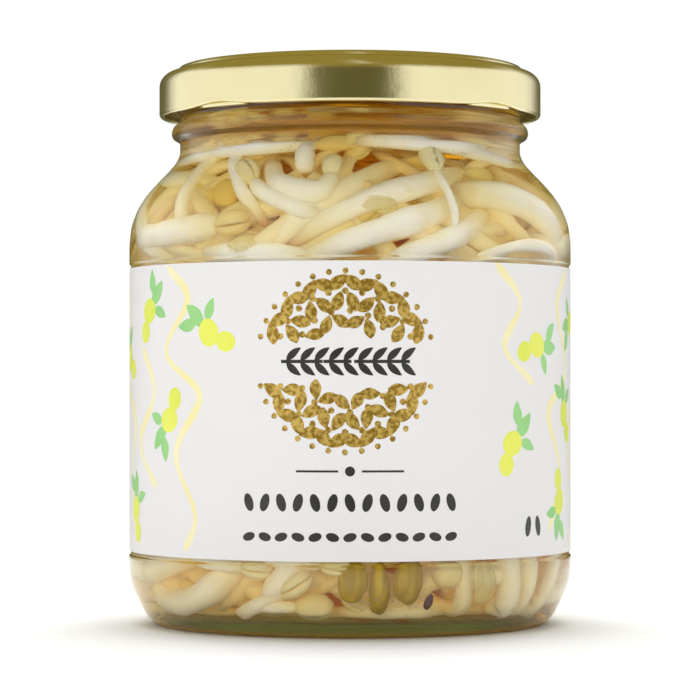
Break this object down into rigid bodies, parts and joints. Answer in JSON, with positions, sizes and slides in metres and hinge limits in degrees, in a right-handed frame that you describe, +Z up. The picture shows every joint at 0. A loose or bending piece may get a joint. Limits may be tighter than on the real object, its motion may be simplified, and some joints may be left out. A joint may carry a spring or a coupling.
{
  "type": "jar of bean sprouts",
  "caption": "Round glass jar with a twist-off metal lid and a wrap-round paper label, filled with pickled bean sprouts in brine.",
  "frame": {"origin": "middle of the base, on the surface the jar stands on", "axes": "+Z up along the jar's axis, -Y towards the front of the label, +X to its right as seen from the front"},
  "size_m": [0.08, 0.08, 0.1006],
  "materials": {
    "glass_jar": "clear, faintly green, polished",
    "paper_label": "satin coated paper, printed",
    "lid_cap": "pale gold lacquer, satin",
    "lid_sealing_ring": "soft moulded ring",
    "brine": "clear amber liquid",
    "sprout_bunch": "wet, pale, slightly translucent",
    "seed_coat": "wet, thin, olive green"
  },
  "bodies": {
    "jar": {"glass_jar": "glass_jar", "paper_label": "paper_label", "brine": "brine", "sprout_bunch": "sprout_bunch", "seed_coat_1": "seed_coat", "seed_coat_2": "seed_coat", "seed_coat_3": "seed_coat"},
    "seal": {"lid_sealing_ring": "lid_sealing_ring"},
    "lid": {"lid_cap": "lid_cap"}
  },
  "joints": [
    {"name": "lid_rise", "type": "slide", "parent": "jar", "child": "seal", "axis": [0, 0, 1], "range_m": [0, 0.002]},
    {"name": "lid_twist", "type": "hinge", "parent": "seal", "child": "lid", "pos_m": [0, 0, 0.095], "axis": [0, 0, 1], "range_deg": [0, 65]}
  ],
  "couplings": [
    {"joint": "lid_twist", "follows": "lid_rise", "rad_per_m": 567}
  ]
}
